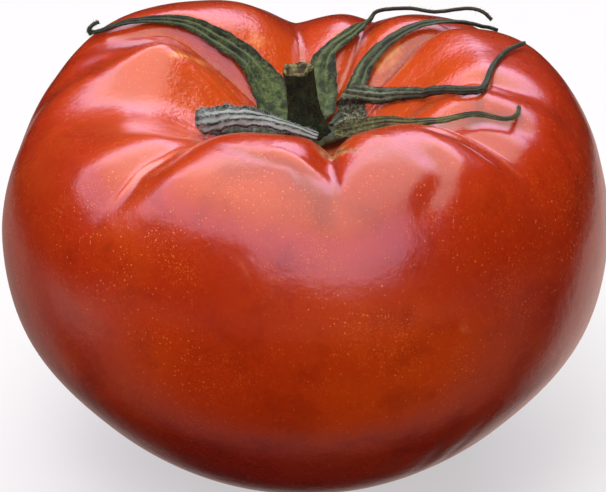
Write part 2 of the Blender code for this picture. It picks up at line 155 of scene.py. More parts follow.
# --- calyx: the same stations as the CAD part, (x, y, z, width[, direction of the width]) ---
SEPALS = {
    "sepal_back_left": (
        (-2.5, 3.0, 57.4, 3.0), (-4.5, 7.0, 57.6, 5.2), (-6.0, 11.0, 60.0, 5.8),
        (-9.5, 14.0, 64.0, 4.1), (-14.0, 15.4, 66.7, 3.4), (-19.5, 16.5, 69.2, 2.0),
        (-26.5, 17.0, 69.0, 1.3), (-33.0, 17.5, 66.7, 1.0), (-34.5, 17.5, 67.3, 0.9),
        (-34.0, 17.5, 68.3, 0.8), (-33.0, 17.5, 68.8, 0.7),
    ),
    "sepal_back": (
        (2.0, 4.5, 57.1, 2.8), (2.5, 8.0, 57.2, 4.5), (2.7, 12.0, 58.7, 5.1),
        (2.8, 16.0, 61.2, 4.6), (4.0, 19.0, 63.2, 3.0), (8.0, 23.3, 65.0, 1.9),
        (10.5, 26.2, 65.7, 1.5), (12.0, 27.0, 67.1, 1.2), (17.0, 25.5, 68.1, 0.9),
        (21.0, 24.2, 68.0, 0.9), (26.0, 23.6, 68.8, 0.8), (28.5, 23.2, 68.5, 0.8),
        (30.2, 22.4, 67.3, 0.7),
    ),
    "sepal_back_right": (
        (4.2, 3.1, 57.0, 1.4), (6.0, 6.5, 57.3, 2.0), (7.5, 10.0, 59.0, 2.7),
        (8.8, 12.2, 61.0, 3.1), (10.2, 14.5, 63.1, 2.6), (14.0, 17.0, 66.1, 1.8),
        (19.5, 19.7, 67.7, 1.4), (26.0, 21.4, 67.2, 1.1), (31.0, 19.8, 66.2, 0.7),
    ),
    "sepal_right": (
        (5.2, 1.2, 57.4, 2.0, 0.6, -0.8, 0.0), (7.8, 3.8, 57.8, 3.6, 1.0, -0.2, 0.1),
        (7.6, 5.4, 58.8, 4.0, 1.0, 0.0, 0.2), (6.6, 6.5, 60.0, 3.6, 0.9, 0.0, 0.4),
        (6.4, 6.0, 61.4, 3.0, 0.6, 0.6, 0.4), (7.6, 5.2, 61.8, 2.8, 0.2, 0.4, 0.9),
        (11.0, 5.2, 61.3, 2.9, 0.0, 0.6, 0.8), (14.0, 3.7, 61.9, 2.4, 0.0, 0.6, 0.8),
        (18.0, -1.5, 64.2, 1.7, 0.0, 0.5, 0.8), (22.0, -9.4, 67.8, 1.4, -0.2, 0.5, 0.8),
        (26.0, -10.8, 68.6, 1.3, -0.4, 0.4, 0.8), (27.5, -8.5, 68.7, 1.1, -0.8, -0.2, 0.5),
        (29.0, -2.0, 69.1, 0.9, -0.8, -0.2, 0.5), (31.5, 4.5, 69.1, 0.8, -0.6, 0.6, 0.5),
        (34.6, 9.6, 68.4, 0.7, -0.6, 0.6, 0.5),
    ),
    "sepal_front_right": (
        (4.6, -1.5, 57.6, 2.2, 0.1, -0.8, -0.6), (7.5, -1.5, 58.4, 3.0, 0.1, -0.8, -0.6),
        (12.4, -5.0, 61.0, 1.8, 0.1, -0.8, -0.6), (16.0, -13.0, 64.3, 1.3, 0.1, -0.8, -0.6),
        (20.5, -16.2, 66.0, 1.1, 0.1, -0.8, -0.6), (25.5, -15.8, 66.8, 1.0, 0.1, -0.8, -0.6),
        (30.0, -16.2, 66.2, 0.8, 0.1, -0.8, -0.6), (31.8, -15.2, 66.4, 0.7, 0.6, -0.6, -0.6),
        (32.3, -13.2, 67.0, 0.7, 0.8, 0.2, -0.6),
    ),
    "sepal_front_left": (
        (-3.4, -0.8, 57.4, 3.0, 0.0, 0.8, 0.6), (-7.5, -0.5, 58.9, 4.8, 0.0, 0.8, 0.6),
        (-11.5, -2.4, 60.0, 5.0, -0.1, 0.6, 0.8), (-15.0, -4.8, 60.9, 4.2, -0.3, 0.4, 0.9),
        (-16.5, -6.2, 61.5, 3.6, -0.3, 0.4, 0.9), (-15.4, -7.6, 61.9, 3.6, -0.3, 0.4, 0.9),
        (-11.5, -5.6, 61.9, 2.8, -0.1, 0.6, 0.8), (-7.0, -3.6, 60.9, 2.5, 0.0, 0.8, 0.6),
        (-3.0, -3.9, 60.0, 2.2, 0.0, 0.8, 0.6), (2.0, -4.4, 58.4, 1.5, 0.0, 0.8, 0.6),
    ),
}
CLEARANCE = 0.30  # least gap between a sepal and the skin
STEPS = 12  # sections between two stations
TOP_POINTS = 21  # points across the upper face of a section
BOTTOM_POINTS = 11

# --- stalk and disc: (share of the height, radius) and (radius, height) ---
STALK_FOOT = (0.3, 0.0, 57.3)
STALK_TOP = (-1.2, 1.0, 67.6)
STALK_PROFILE = (
    (0.0, 3.6), (0.06, 3.3), (0.16, 2.95), (0.35, 2.5), (0.65, 2.25), (0.86, 2.28), (0.95, 2.42),
    (1.0, 2.3),
)
DISC_CENTRE = (0.6, 0.0, 55.15)
DISC_PROFILE = (
    (0.0, 2.5), (1.5, 2.5), (2.6, 2.35), (3.3, 1.95), (3.55, 1.25), (3.3, 0.55), (2.2, 0.05),
    (0.0, 0.0),
)

# how far the brim of the disc reaches out towards the sepals: (azimuth, half width, reach)
BRIM = ((20, 38, 3.0), (120, 42, 2.6), (182, 30, 1.8), (262, 40, 0.9))


# --- numbers ---
def ease(x):
    """0 below 0, 1 above 1, and a smooth step between."""
    x = np.clip(x, 0.0, 1.0)
    return x * x * (3.0 - 2.0 * x)


def turn(degrees):
    """Angles brought into the half-open range from -180 to 180."""
    return (degrees + 180.0) % 360.0 - 180.0


def through_points(a, b, c, d, u):
    """The curve through b and c, at share u of the way between them."""
    return 0.5 * (
        2.0 * b + (c - a) * u + (2.0 * a - 5.0 * b + 4.0 * c - d) * u**2
        + (3.0 * b - a - 3.0 * c + d) * u**3
    )


MIRROR = np.array((-1.0, 1.0))
KNOTS = np.concatenate((FRUIT_PROFILE[1:2] * MIRROR, FRUIT_PROFILE, FRUIT_PROFILE[-2:-1] * MIRROR))


def fruit_profile(way):
    """Radius and height at shares of the way from the pit to the foot."""
    last = len(FRUIT_PROFILE) - 1
    place = np.clip(way, 0.0, 1.0) * last
    index = np.minimum(place.astype(int), last - 1)
    u = (place - index)[..., None]
    return through_points(*(KNOTS[index + step] for step in range(4)), u)


def profile_normal(way):
    """The outward direction of the profile, square to it."""
    after, before = np.minimum(way + 0.001, 1.0), np.maximum(way - 0.001, 0.0)
    along = fruit_profile(after) - fruit_profile(before)
    out = np.stack((-along[..., 1], along[..., 0]), -1)
    return out / np.linalg.norm(out, axis=-1, keepdims=True)


def furrow_depth(way, azimuth):
    """How far all the furrows together press the skin in."""
    depth = np.zeros(np.broadcast(way, azimuth).shape)
    for at_pit, at_end, start, deepest, end, deep, half_width, sharpness in FURROWS:
        middle = at_pit + (at_end - at_pit) * ease((way - start) / (end - start))
        across = np.abs(turn(azimuth - middle)) / half_width
        along = ease((way - start) / (deepest - start)) * ease((end - way) / (end - deepest))
        depth += deep * along * np.exp(-(across**sharpness))
    return depth


def skin_points(way, azimuth):
    """Points of the smooth skin, in millimetres."""
    way, azimuth = np.broadcast_arrays(np.asarray(way, float), np.asarray(azimuth, float))
    bent = azimuth + WAVER * np.sin(way * 24.0 + np.radians(azimuth) * 5.0)
    flat = fruit_profile(way) - profile_normal(way) * furrow_depth(way, bent)[..., None]
    crest = ease((way - 0.08) / 0.25) * ease((0.62 - way) / 0.25)
    rise = sum(high * np.exp(-((turn(azimuth - at) / wide) ** 2)) for at, wide, high in LOBES)
    height = np.maximum(flat[..., 1] + crest * rise, 0.0)
    angle = np.radians(azimuth)
    return np.stack((flat[..., 0] * np.cos(angle), flat[..., 0] * np.sin(angle), height), -1)


def noise_at(points, scale, octaves=2, seed=0.0):
    """Smooth noise between about -1 and 1 at points in millimetres."""
    shift = Vector((seed, seed * 0.7, -seed))
    found = [noise.fractal(Vector(point) * scale + shift, 1.0, 2.0, octaves,
                           noise_basis="PERLIN_ORIGINAL") for point in points.reshape(-1, 3)]
    return np.array(found).reshape(points.shape[:-1])


def along_line(places, gap=0.25):
    """Points of the skin along a line of places, and each point's share of the length."""
    places = np.array(places, float)
    rough = skin_points(places[:, 0], places[:, 1])
    lengths = np.concatenate(((0.0,), np.cumsum(np.linalg.norm(np.diff(rough, axis=0), axis=1))))
    count = max(int(lengths[-1] / gap), 2)
    share = np.linspace(0.0, lengths[-1], count)
    way = np.interp(share, lengths, places[:, 0])
    azimuth = np.interp(share, lengths, places[:, 1])
    return skin_points(way, azimuth), share / lengths[-1]


def near_line(points, places, reach):
    """Distance of every point from a line of places, and the nearest share of its length."""
    line, share = along_line(places)
    low, high = line.min(0) - reach, line.max(0) + reach
    close = np.all((points > low) & (points < high), axis=-1)
    distance = np.full(points.shape[:-1], 1e3)
    nearest = np.zeros(points.shape[:-1])
    chosen = points[close]
    if len(chosen):
        gaps = np.linalg.norm(chosen[:, None, :] - line[None, :, :], axis=-1)
        best = gaps.argmin(1)
        distance[close] = gaps[np.arange(len(best)), best]
        nearest[close] = share[best]
    return distance, nearest


# --- meshes ---
def make_piece(name, node_name, points, faces, masks, material):
    """An object from points in millimetres that stands for one CAD node."""
    mesh = bpy.data.meshes.new(name)
    mesh.from_pydata([tuple(point) for point in np.asarray(points) * MM], [], faces)
    mesh.polygons.foreach_set("use_smooth", [True] * len(mesh.polygons))
    for mask, values in masks.items():
        layer = mesh.attributes.new(mask, "FLOAT", "POINT")
        layer.data.foreach_set("value", np.asarray(values, dtype=np.float32))
    mesh.materials.append(material)
    mesh.validate()
    mesh.update()
    piece = bpy.data.objects.new(name, mesh)
    bpy.context.scene.collection.objects.link(piece)
    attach(piece, "root")
    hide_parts(node_name)
    return piece


def ring_faces(rows, columns, first=0):
    """Quads between rings of equal corner counts."""
    faces = []
    for row in range(rows - 1):
        for column in range(columns):
            after = (column + 1) % columns
            here, there = first + row * columns, first + (row + 1) * columns
            faces.append((here + column, there + column, there + after, here + after))
    return faces


def cap_faces(tip, first, columns, turned=False):
    """Triangles that close a ring of corners with one tip."""
    faces = []
    for column in range(columns):
        here, after = first + column, first + (column + 1) % columns
        faces.append((tip, after, here) if turned else (tip, here, after))
    return faces


def add_corner(points, masks, place, **values):
    """A corner and its value in every mask."""
    points.append(place)
    for name, value in values.items():
        masks[name].append(value)


def grid_normals(points):
    """Outward normals of a grid of rings around the fruit."""
    down = np.gradient(points, axis=0)
    around = np.roll(points, -1, 1) - np.roll(points, 1, 1)
    normals = np.cross(down, around)
    return normals / (np.linalg.norm(normals, axis=-1, keepdims=True) + 1e-12)


def fruit_relief(points, way, azimuth):
    """Height of the fine relief over the smooth skin, and the masks that colour it."""
    shape = points.shape[:-1]
    relief = np.zeros(shape)
    painted_crease_shade, pale_and_highlight, cork, yellow = (np.zeros(shape) for _ in range(4))
    # gentle lumps, stronger on the upper half
    upper = ease((0.62 - way) / 0.2)
    relief += 0.16 * upper * noise_at(points, 0.11, 2, 3.0)
    relief += 0.05 * noise_at(points, 0.035, 2, 9.0) * ease((1.0 - way) / 0.15)
    for places, half_width, depth, dark, light in LINES:
        distance, share = near_line(points, places, half_width * 3.5)
        fade = ease(share / 0.3) * ease((1.0 - share) / 0.3)
        profile = np.exp(-((distance / half_width) ** 2)) * fade
        relief -= depth * profile
        # the darkness paints shade into a crease, the paleness paints a highlight on a ridge
        painted_crease_shade = np.maximum(painted_crease_shade, dark * profile)
        pale_and_highlight = np.maximum(pale_and_highlight, light * profile)
    for at_way, at_azimuth, radius, height, brown, light, warm in SPOTS:
        middle = skin_points(np.array([at_way]), np.array([at_azimuth]))[0]
        distance = np.linalg.norm(points - middle, axis=-1)
        close = distance < radius * 2.5
        spread = np.zeros(shape)
        ragged = np.maximum(1.0 + 0.9 * noise_at(points[close], 1.1, 3, 5.0), 0.2)
        spread[close] = np.exp(-((distance[close] / (radius * ragged)) ** 2))
        relief += height * spread
        cork = np.maximum(cork, brown * spread)
        pale_and_highlight = np.maximum(pale_and_highlight, light * spread)
        yellow = np.maximum(yellow, warm * spread)
    for places in SCRATCHES:
        distance, share = near_line(points, places, 1.0)
        profile = np.exp(-((distance / 0.22) ** 2)) * ease(share / 0.2) * ease((1 - share) / 0.2)
        relief -= 0.06 * profile
        pale_and_highlight = np.maximum(pale_and_highlight, 0.8 * profile)
    # leathery wrinkles that run down the wall of the pit
    wall = ease((way - 0.07) / 0.06) * ease((0.29 - way) / 0.08)
    left = 0.35 + 0.65 * np.exp(-((turn(azimuth - 172.0) / 45.0) ** 2))
    waver = noise_at(points, 0.22, 2, 14.0)
    folds = np.sin(np.radians(azimuth) * 46.0 + 2.2 * waver) * (0.5 + 0.5 * waver)
    relief += 0.10 * wall * left * folds
    # blossom scar and the puckers around it, under the fruit
    from_foot = np.linalg.norm(points[..., :2] - np.array(SCAR_CENTRE), axis=-1)
    under = way > 0.85
    ragged = np.zeros(shape)
    ragged[under] = noise_at(points[under], 0.5, 3, 21.0)
    scar = ease((3.4 - from_foot + 1.6 * ragged) / 0.9) * under
    cork = np.maximum(cork, 0.95 * scar)
    pucker = ease((13.0 - from_foot) / 8.0) * ease((from_foot - 2.2) / 1.5) * under
    relief += 0.14 * pucker * (np.cos(np.radians(azimuth) * 9.0 + 1.5 * ragged) - 1.0)
    relief += 0.30 * scar * (1.0 + 0.5 * ragged)
    pit = ease((0.17 - way) / 0.11)
    shoulder = ease((0.40 - way) / 0.22)
    return relief, {"painted_crease_shade": painted_crease_shade, "pale_and_highlight": pale_and_highlight, "cork": cork, "yellow": yellow, "pit": pit,
                    "shoulder": shoulder}


def fruit_grid():
    """Ways of the rings, closer together where the lobes are."""
    even = np.linspace(0.0, 1.0, FRUIT_RINGS + 1)[1:-1]
    return even - RING_CROWDING * np.sin(2.0 * np.pi * even) * (1.0 - even)


def make_fruit(material):
    """The fruit in one closed skin, from the pit to the foot."""
    ways = fruit_grid()
    azimuths = np.arange(FRUIT_SEGMENTS) * 360.0 / FRUIT_SEGMENTS
    way, azimuth = np.meshgrid(ways, azimuths, indexing="ij")
    smooth = skin_points(way, azimuth)
    relief, masks = fruit_relief(smooth, way, azimuth)
    points = smooth + grid_normals(smooth) * relief[..., None]
    points[..., 2] = np.maximum(points[..., 2], 0.0)
    top = points[0].mean(0)
    foot = points[-1].mean(0)
    foot[2] = 0.0
    every = np.concatenate((points.reshape(-1, 3), (top, foot)))
    rows = len(ways)
    faces = ring_faces(rows, FRUIT_SEGMENTS)
    faces += cap_faces(len(every) - 2, 0, FRUIT_SEGMENTS)
    faces += cap_faces(len(every) - 1, (rows - 1) * FRUIT_SEGMENTS, FRUIT_SEGMENTS, True)
    for name, values in masks.items():
        ends = (values[0].mean(), values[-1].mean())
        masks[name] = np.concatenate((values.reshape(-1), ends))
    return make_piece("tomato_fruit", "fruit", every, faces, masks, material)


def skin_tree():
    """The smooth skin as a surface to measure from, in millimetres."""
    ways = np.linspace(0.0, 0.6, 90)[1:]
    azimuths = np.arange(180) * 2.0
    points = skin_points(ways[:, None], azimuths[None, :])
    corners = [Vector(point) for point in points.reshape(-1, 3)]
    return BVHTree.FromPolygons(corners, ring_faces(len(ways), len(azimuths)))


def station_sides(stations, skin):
    """The width direction at every station, taken from the skin where none is given."""
    places = [Vector(row[:3]) for row in stations]
    sides = []
    for k, row in enumerate(stations):
        if len(row) > 4:
            sides.append(Vector(row[4:7]).normalized())
            continue
        along = places[min(k + 1, len(places) - 1)] - places[max(k - 1, 0)]
        outward = skin.find_nearest(places[k])[1]
        sides.append(along.cross(outward).normalized())
    return sides


def sepal_frames(stations, skin):
    """(centre, tangent, side, width, share of the length) of every section, disc to tip."""
    places = [Vector(row[:3]) for row in stations]
    sides = station_sides(stations, skin)
    last = len(stations) - 1
    padded = [places[0] * 2.0 - places[1]] + places + [places[last] * 2.0 - places[last - 1]]
    found = []
    for step in range(last * STEPS + 1):
        k = min(step // STEPS, last - 1)
        u = step / STEPS - k
        centre = through_points(*padded[k : k + 4], u)
        ahead = through_points(*padded[k : k + 4], u + 0.01)
        tangent = (ahead - centre).normalized()
        side = sides[k].lerp(sides[k + 1], float(ease(u)))
        side = (side - tangent * side.dot(tangent)).normalized()
        width = stations[k][3] + (stations[k + 1][3] - stations[k][3]) * u
        found.append((centre, tangent, side, width, step / (last * STEPS)))
    return found


def sepal_ring(frame_of, look, seed):
    """One section: ridged upper face, ragged edges, thinner towards the edges."""
    centre, tangent, side, width, share = frame_of
    outward = side.cross(tangent)
    thick = min(look["thick"], width * 0.8)
    ring = []
    run = share * look["length"]
    edge = {}
    for hand in (-1, 1):
        spot = Vector((run * 0.9, hand * 5.0, seed))
        ragged = 1.0 + look["ragged"] * noise.fractal(spot, 1.0, 2.0, 3)
        curl = look["curl"] * noise.noise(Vector((run * 0.35, hand * 9.0, seed + 7.0)))
        edge[hand] = (ragged, curl)
    for k in range(TOP_POINTS + BOTTOM_POINTS):
        if k < TOP_POINTS:
            u = 1.0 - 2.0 * k / (TOP_POINTS - 1)
            upper = True
        else:
            u = -1.0 + 2.0 * (k - TOP_POINTS + 1) / (BOTTOM_POINTS + 1)
            upper = False
        ragged, curl = edge[1 if u > 0 else -1]
        across = 0.5 * width * u * (1.0 + (ragged - 1.0) * abs(u))
        cup = (look["cup"] + curl) * width * u * u
        body = 0.5 * thick * (1.0 - 0.82 * u * u)
        wrinkle = noise.fractal(Vector((run * 0.8, u * 1.3, seed + 3.0)), 1.0, 2.0, 3)
        fine = look["fine"] * min(width / 3.0, 1.0)
        veins = math.cos(u * look["veins"] * math.pi + 0.6 * wrinkle)
        midrib = math.exp(-((u / 0.16) ** 2))
        ridge = look["ridge"] * min(width / 3.5, 1.0) * (midrib + 0.6 * veins)
        height = cup + fine * wrinkle
        height += body + ridge * (1.0 - u * u) if upper else -body - 0.5 * ridge * (1.0 - u * u)
        ring.append((centre + side * across + outward * height, u, share, 1.0 if upper else 0.0))
    return ring


def lift_needed(ring, skin):
    """How far a section has to rise, and which way, to clear the skin."""
    worst = 0.0
    direction = Vector((0.0, 0.0, 1.0))
    for point, *_ in ring:
        nearest, outward, _, _ = skin.find_nearest(point)
        short = CLEARANCE - (point - nearest).dot(outward)
        if short > worst:
            worst = short
            direction = outward
    return direction * worst


def add_hairs(points, faces, masks, roots, look, draw):
    """Short closed spikes that stand on a surface. Roots are (place, outward, along, masks)."""
    for place, outward, along, values in roots:
        length = look["hair"] * draw.uniform(0.5, 1.3) * (2.6 if draw.random() < 0.04 else 1.0)
        lean = Vector((draw.uniform(-1, 1), draw.uniform(-1, 1), draw.uniform(-1, 1)))
        aim = (outward + along * draw.uniform(-0.3, 0.8) + lean * 0.55).normalized()
        side = aim.cross(Vector((0.3, 0.2, 1.0))).normalized()
        other = aim.cross(side)
        first = len(points)
        foot = place - outward * 0.05
        for k in range(3):
            angle = 2.0 * math.pi * k / 3.0
            around = side * math.cos(angle) + other * math.sin(angle)
            points.append(foot + around * look["hair_radius"])
        points.append(foot + aim * length)
        faces.extend((
            (first, first + 2, first + 1), (first, first + 1, first + 3),
            (first + 1, first + 2, first + 3), (first + 2, first, first + 3),
        ))
        for name, value in values.items():
            masks[name].extend([value] * 4)


def make_sepal(name, stations, skin, look, material):
    """A sepal: ridged sections along its stations, each one lifted clear of the skin."""
    seed = look["seed"]
    frames = sepal_frames(stations, skin)
    rings = [sepal_ring(frame_of, look, seed) for frame_of in frames]
    for _ in range(2):
        lifts = [lift_needed(ring, skin) for ring in rings]
        for k, ring in enumerate(rings):
            near = lifts[max(k - 3, 0) : k + 4]
            lift = max(near, key=lambda step: step.length)
            rings[k] = [(point + lift, *rest) for point, *rest in ring]
    count = TOP_POINTS + BOTTOM_POINTS
    points, masks = [], {"across": [], "along": [], "upper": [], "hair": []}
    for ring in rings:
        for point, across, along, upper in ring:
            add_corner(points, masks, point, across=across, along=along, upper=upper, hair=0.0)
    faces = ring_faces(len(rings), count)
    faces.append(tuple(range(count)))
    faces.append(tuple(reversed(range((len(rings) - 1) * count, len(rings) * count))))
    draw = random.Random(int(seed * 1000))
    roots = []
    for _ in range(look["hairs"]):
        row = draw.randrange(1, len(rings) - 2)
        if draw.random() < look["edge_hairs"]:
            column = draw.choice((0, 0, 1, TOP_POINTS - 1, TOP_POINTS - 1, TOP_POINTS - 2))
        else:
            column = draw.randrange(count)
        here, after = rings[row][column], rings[row + 1][column]
        around = rings[row][(column + 1) % count][0] - rings[row][column - 1][0]
        along = (after[0] - here[0]).normalized()
        outward = around.cross(along).normalized()
        centre = frames[row][0]
        if (here[0] - centre).dot(outward) < 0.0:
            outward = -outward
        place = here[0].lerp(after[0], draw.random())
        values = {"across": here[1], "along": here[2], "upper": here[3], "hair": 1.0}
        roots.append((place, outward, along, values))
    add_hairs(points, faces, masks, roots, look, draw)
    return make_piece("tomato_" + name, name, points, faces, masks, material)


def make_stalk(material):
    """The stub of the stalk: ribbed and hairy, with a torn, slanting cut end."""
    foot, lean = Vector(STALK_FOOT), Vector(STALK_TOP) - Vector(STALK_FOOT)
    shares = np.array([row[0] for row in STALK_PROFILE])
    radii = np.array([row[1] for row in STALK_PROFILE])
    segments, steps, inner = 60, 56, 7
    points, masks = [], {"cut": [], "height": [], "hair": []}
    grid = []
    for step in range(steps + 1):
        share = step / steps
        radius = float(np.interp(share, shares, radii))
        row = []
        for k in range(segments):
            angle = 2.0 * math.pi * k / segments
            spot = Vector((math.cos(angle) * 1.4, math.sin(angle) * 1.4, share * 2.6))
            rough = noise.fractal(spot * 1.3, 1.0, 2.0, 3)
            reach = radius + 0.14 * math.cos(5 * angle) + 0.07 * math.cos(13 * angle + 2 * rough)
            reach += 0.14 * rough
            side = Vector((reach * math.cos(angle), reach * math.sin(angle), 0.0))
            # the cut end rises to the right and its rim is torn
            slant = 0.11 * side.x + 0.22 * noise.fractal(spot * 2.2, 1.0, 2.0, 2)
            centre = foot + lean * share + Vector((0.0, 0.0, slant * max(share - 0.6, 0.0) / 0.4))
            place = centre + side
            row.append(place)
            cut = float(ease((share - 0.93) / 0.07))
            add_corner(points, masks, place, cut=cut, height=share, hair=0.0)
        grid.append(row)
    rim = grid[-1]
    middle = sum(rim, Vector()) / segments
    for ring in range(1, inner):
        inward = ring / inner
        for k in range(segments):
            place = rim[k].lerp(middle, inward)
            dip = 0.75 * float(ease(inward / 0.45)) + 0.10 * math.sin(7.0 * inward + k * 0.9)
            rough = 0.18 * noise.noise(place * 1.7)
            place = place - Vector((0.0, 0.0, dip + rough))
            add_corner(points, masks, place, cut=1.0, height=1.0 + inward, hair=0.0)
    faces = [tuple(reversed(face)) for face in ring_faces(steps + inner, segments)]
    deepest = middle - Vector((0.0, 0.0, 0.8))
    faces += cap_faces(len(points), (steps + inner - 1) * segments, segments)
    add_corner(points, masks, deepest, cut=1.0, height=2.0, hair=0.0)
    faces += cap_faces(len(points), 0, segments, True)
    add_corner(points, masks, foot.copy(), cut=0.0, height=0.0, hair=0.0)
    draw = random.Random(51)
    look = {"hair": 0.55, "hair_radius": 0.022}
    roots = []
    for _ in range(1500):
        step, k = draw.randrange(3, steps), draw.randrange(segments)
        place = grid[step][k]
        outward = (place - (foot + lean * (step / steps)))
        outward.z = 0.0
        values = {"cut": 0.0, "height": step / steps, "hair": 1.0}
        roots.append((place, outward.normalized(), Vector((0.0, 0.0, 1.0)), values))
    add_hairs(points, faces, masks, roots, look, draw)
    return make_piece("tomato_stalk", "stem", points, faces, masks, material)


def make_disc(material):
    """The disc under the stalk: turned, with a swelling towards every sepal."""
    segments, steps = 96, 40
    radii = np.array([row[0] for row in DISC_PROFILE])
    heights = np.array([row[1] for row in DISC_PROFILE])
    lengths = np.concatenate(((0.0,), np.cumsum(np.hypot(np.diff(radii), np.diff(heights)))))
    points, masks = [], {"upper": []}
    centre = Vector(DISC_CENTRE)
    for step in range(1, steps):
        at = lengths[-1] * step / steps
        radius, height = np.interp(at, lengths, radii), np.interp(at, lengths, heights)
        for k in range(segments):
            angle = 2.0 * math.pi * k / segments
            spot = Vector((math.cos(angle) * radius, math.sin(angle) * radius, height))
            rough = noise.fractal(spot * 0.9, 1.0, 2.0, 3)
            reach = radius * (1.0 + 0.05 * math.cos(6.0 * angle + 0.8) + 0.05 * rough)
            brim = sum(far * math.exp(-((turn(math.degrees(angle) - way) / wide) ** 2))
                       for way, wide, far in BRIM)
            reach += brim * math.exp(-(((height - 1.25) / 0.75) ** 2)) * (1.0 + 0.25 * rough)
            side = Vector((reach * math.cos(angle), reach * math.sin(angle), 0.0))
            place = centre + side + Vector((0.0, 0.0, height + 0.12 * rough))
            add_corner(points, masks, place, upper=1.0 - step / steps)
    faces = ring_faces(steps - 1, segments)
    faces += cap_faces(len(points), 0, segments)
    add_corner(points, masks, centre + Vector((0.0, 0.0, float(heights[0]))), upper=1.0)
    faces += cap_faces(len(points), (steps - 2) * segments, segments, True)
    add_corner(points, masks, centre.copy(), upper=0.0)
    return make_piece("tomato_disc", "calyx_disc", points, faces, masks, material)


# --- materials ---
class Nodes:
    """A short way to write a node tree."""

    def __init__(self, tree):
        self.tree = tree

    def put(self, kind, output=0, settings=None, **sockets):
        """Add a node, set or link its sockets, and return one of its outputs."""
        made = self.tree.nodes.new(kind)
        for key, value in (settings or {}).items():
            setattr(made, key, value)
        for key, value in sockets.items():
            key = key.replace("_", " ")
            socket = made.inputs[int(key[1:])] if key[0] == "i" and key[1:].isdigit() \
                else made.inputs[key]
            if isinstance(value, bpy.types.NodeSocket):
                self.tree.links.new(value, socket)
            else:
                socket.default_value = value
        return made.outputs[output]

    def math(self, operation, a, b=0.5):
        return self.put("ShaderNodeMath", 0, {"operation": operation}, i0=a, i1=b)

    def times(self, a, b):
        return self.math("MULTIPLY", a, b)

    def plus(self, a, b):
        return self.math("ADD", a, b)

    def mask(self, name):
        return self.put("ShaderNodeAttribute", 2, {"attribute_name": name})

    def noise(self, vector, scale, detail, rough):
        return self.put("ShaderNodeTexNoise", 0, None, Vector=vector, Scale=scale, Detail=detail,
                        Roughness=rough)

    def band(self, value, low, high, to_low=0.0, to_high=1.0):
        """A smooth step of a value from low to high."""
        return self.put("ShaderNodeMapRange", 0, {"interpolation_type": "SMOOTHSTEP"},
                        i0=value, i1=low, i2=high, i3=to_low, i4=to_high)

    def mix(self, share, first, second):
        made = self.tree.nodes.new("ShaderNodeMix")
        made.data_type = "RGBA"
        made.clamp_factor = True
        for place, value in ((0, share), (6, first), (7, second)):
            if isinstance(value, bpy.types.NodeSocket):
                self.tree.links.new(value, made.inputs[place])
            else:
                made.inputs[place].default_value = (*value, 1.0)
        return made.outputs[2]

    def bump(self, height, strength, distance, normal=None):
        sockets = {"Height": height, "Strength": strength, "Distance": distance}
        if normal is not None:
            sockets["Normal"] = normal
        return self.put("ShaderNodeBump", 0, None, **sockets)


def new_material(name):
    """An empty material, its nodes and its Principled shader."""
    material = bpy.data.materials.new(name)
    material.use_nodes = True
    tree = material.node_tree
    return material, Nodes(tree), tree.nodes["Principled BSDF"]


def link(nodes, value, shader, socket):
    nodes.tree.links.new(value, shader.inputs[socket])


def set_plain(shader, **values):
    """Values that are the same all over the surface."""
    for socket, value in values.items():
        shader.inputs[socket.replace("_", " ")].default_value = value


RED, DEEP_RED, ORANGE = (0.30, 0.019, 0.001), (0.21, 0.011, 0.0008), (0.38, 0.040, 0.0015)
FLECK_CELLS = 1900.0  # cells to the metre, with one gold fleck in most of them
DUST_CELLS = 3300.0


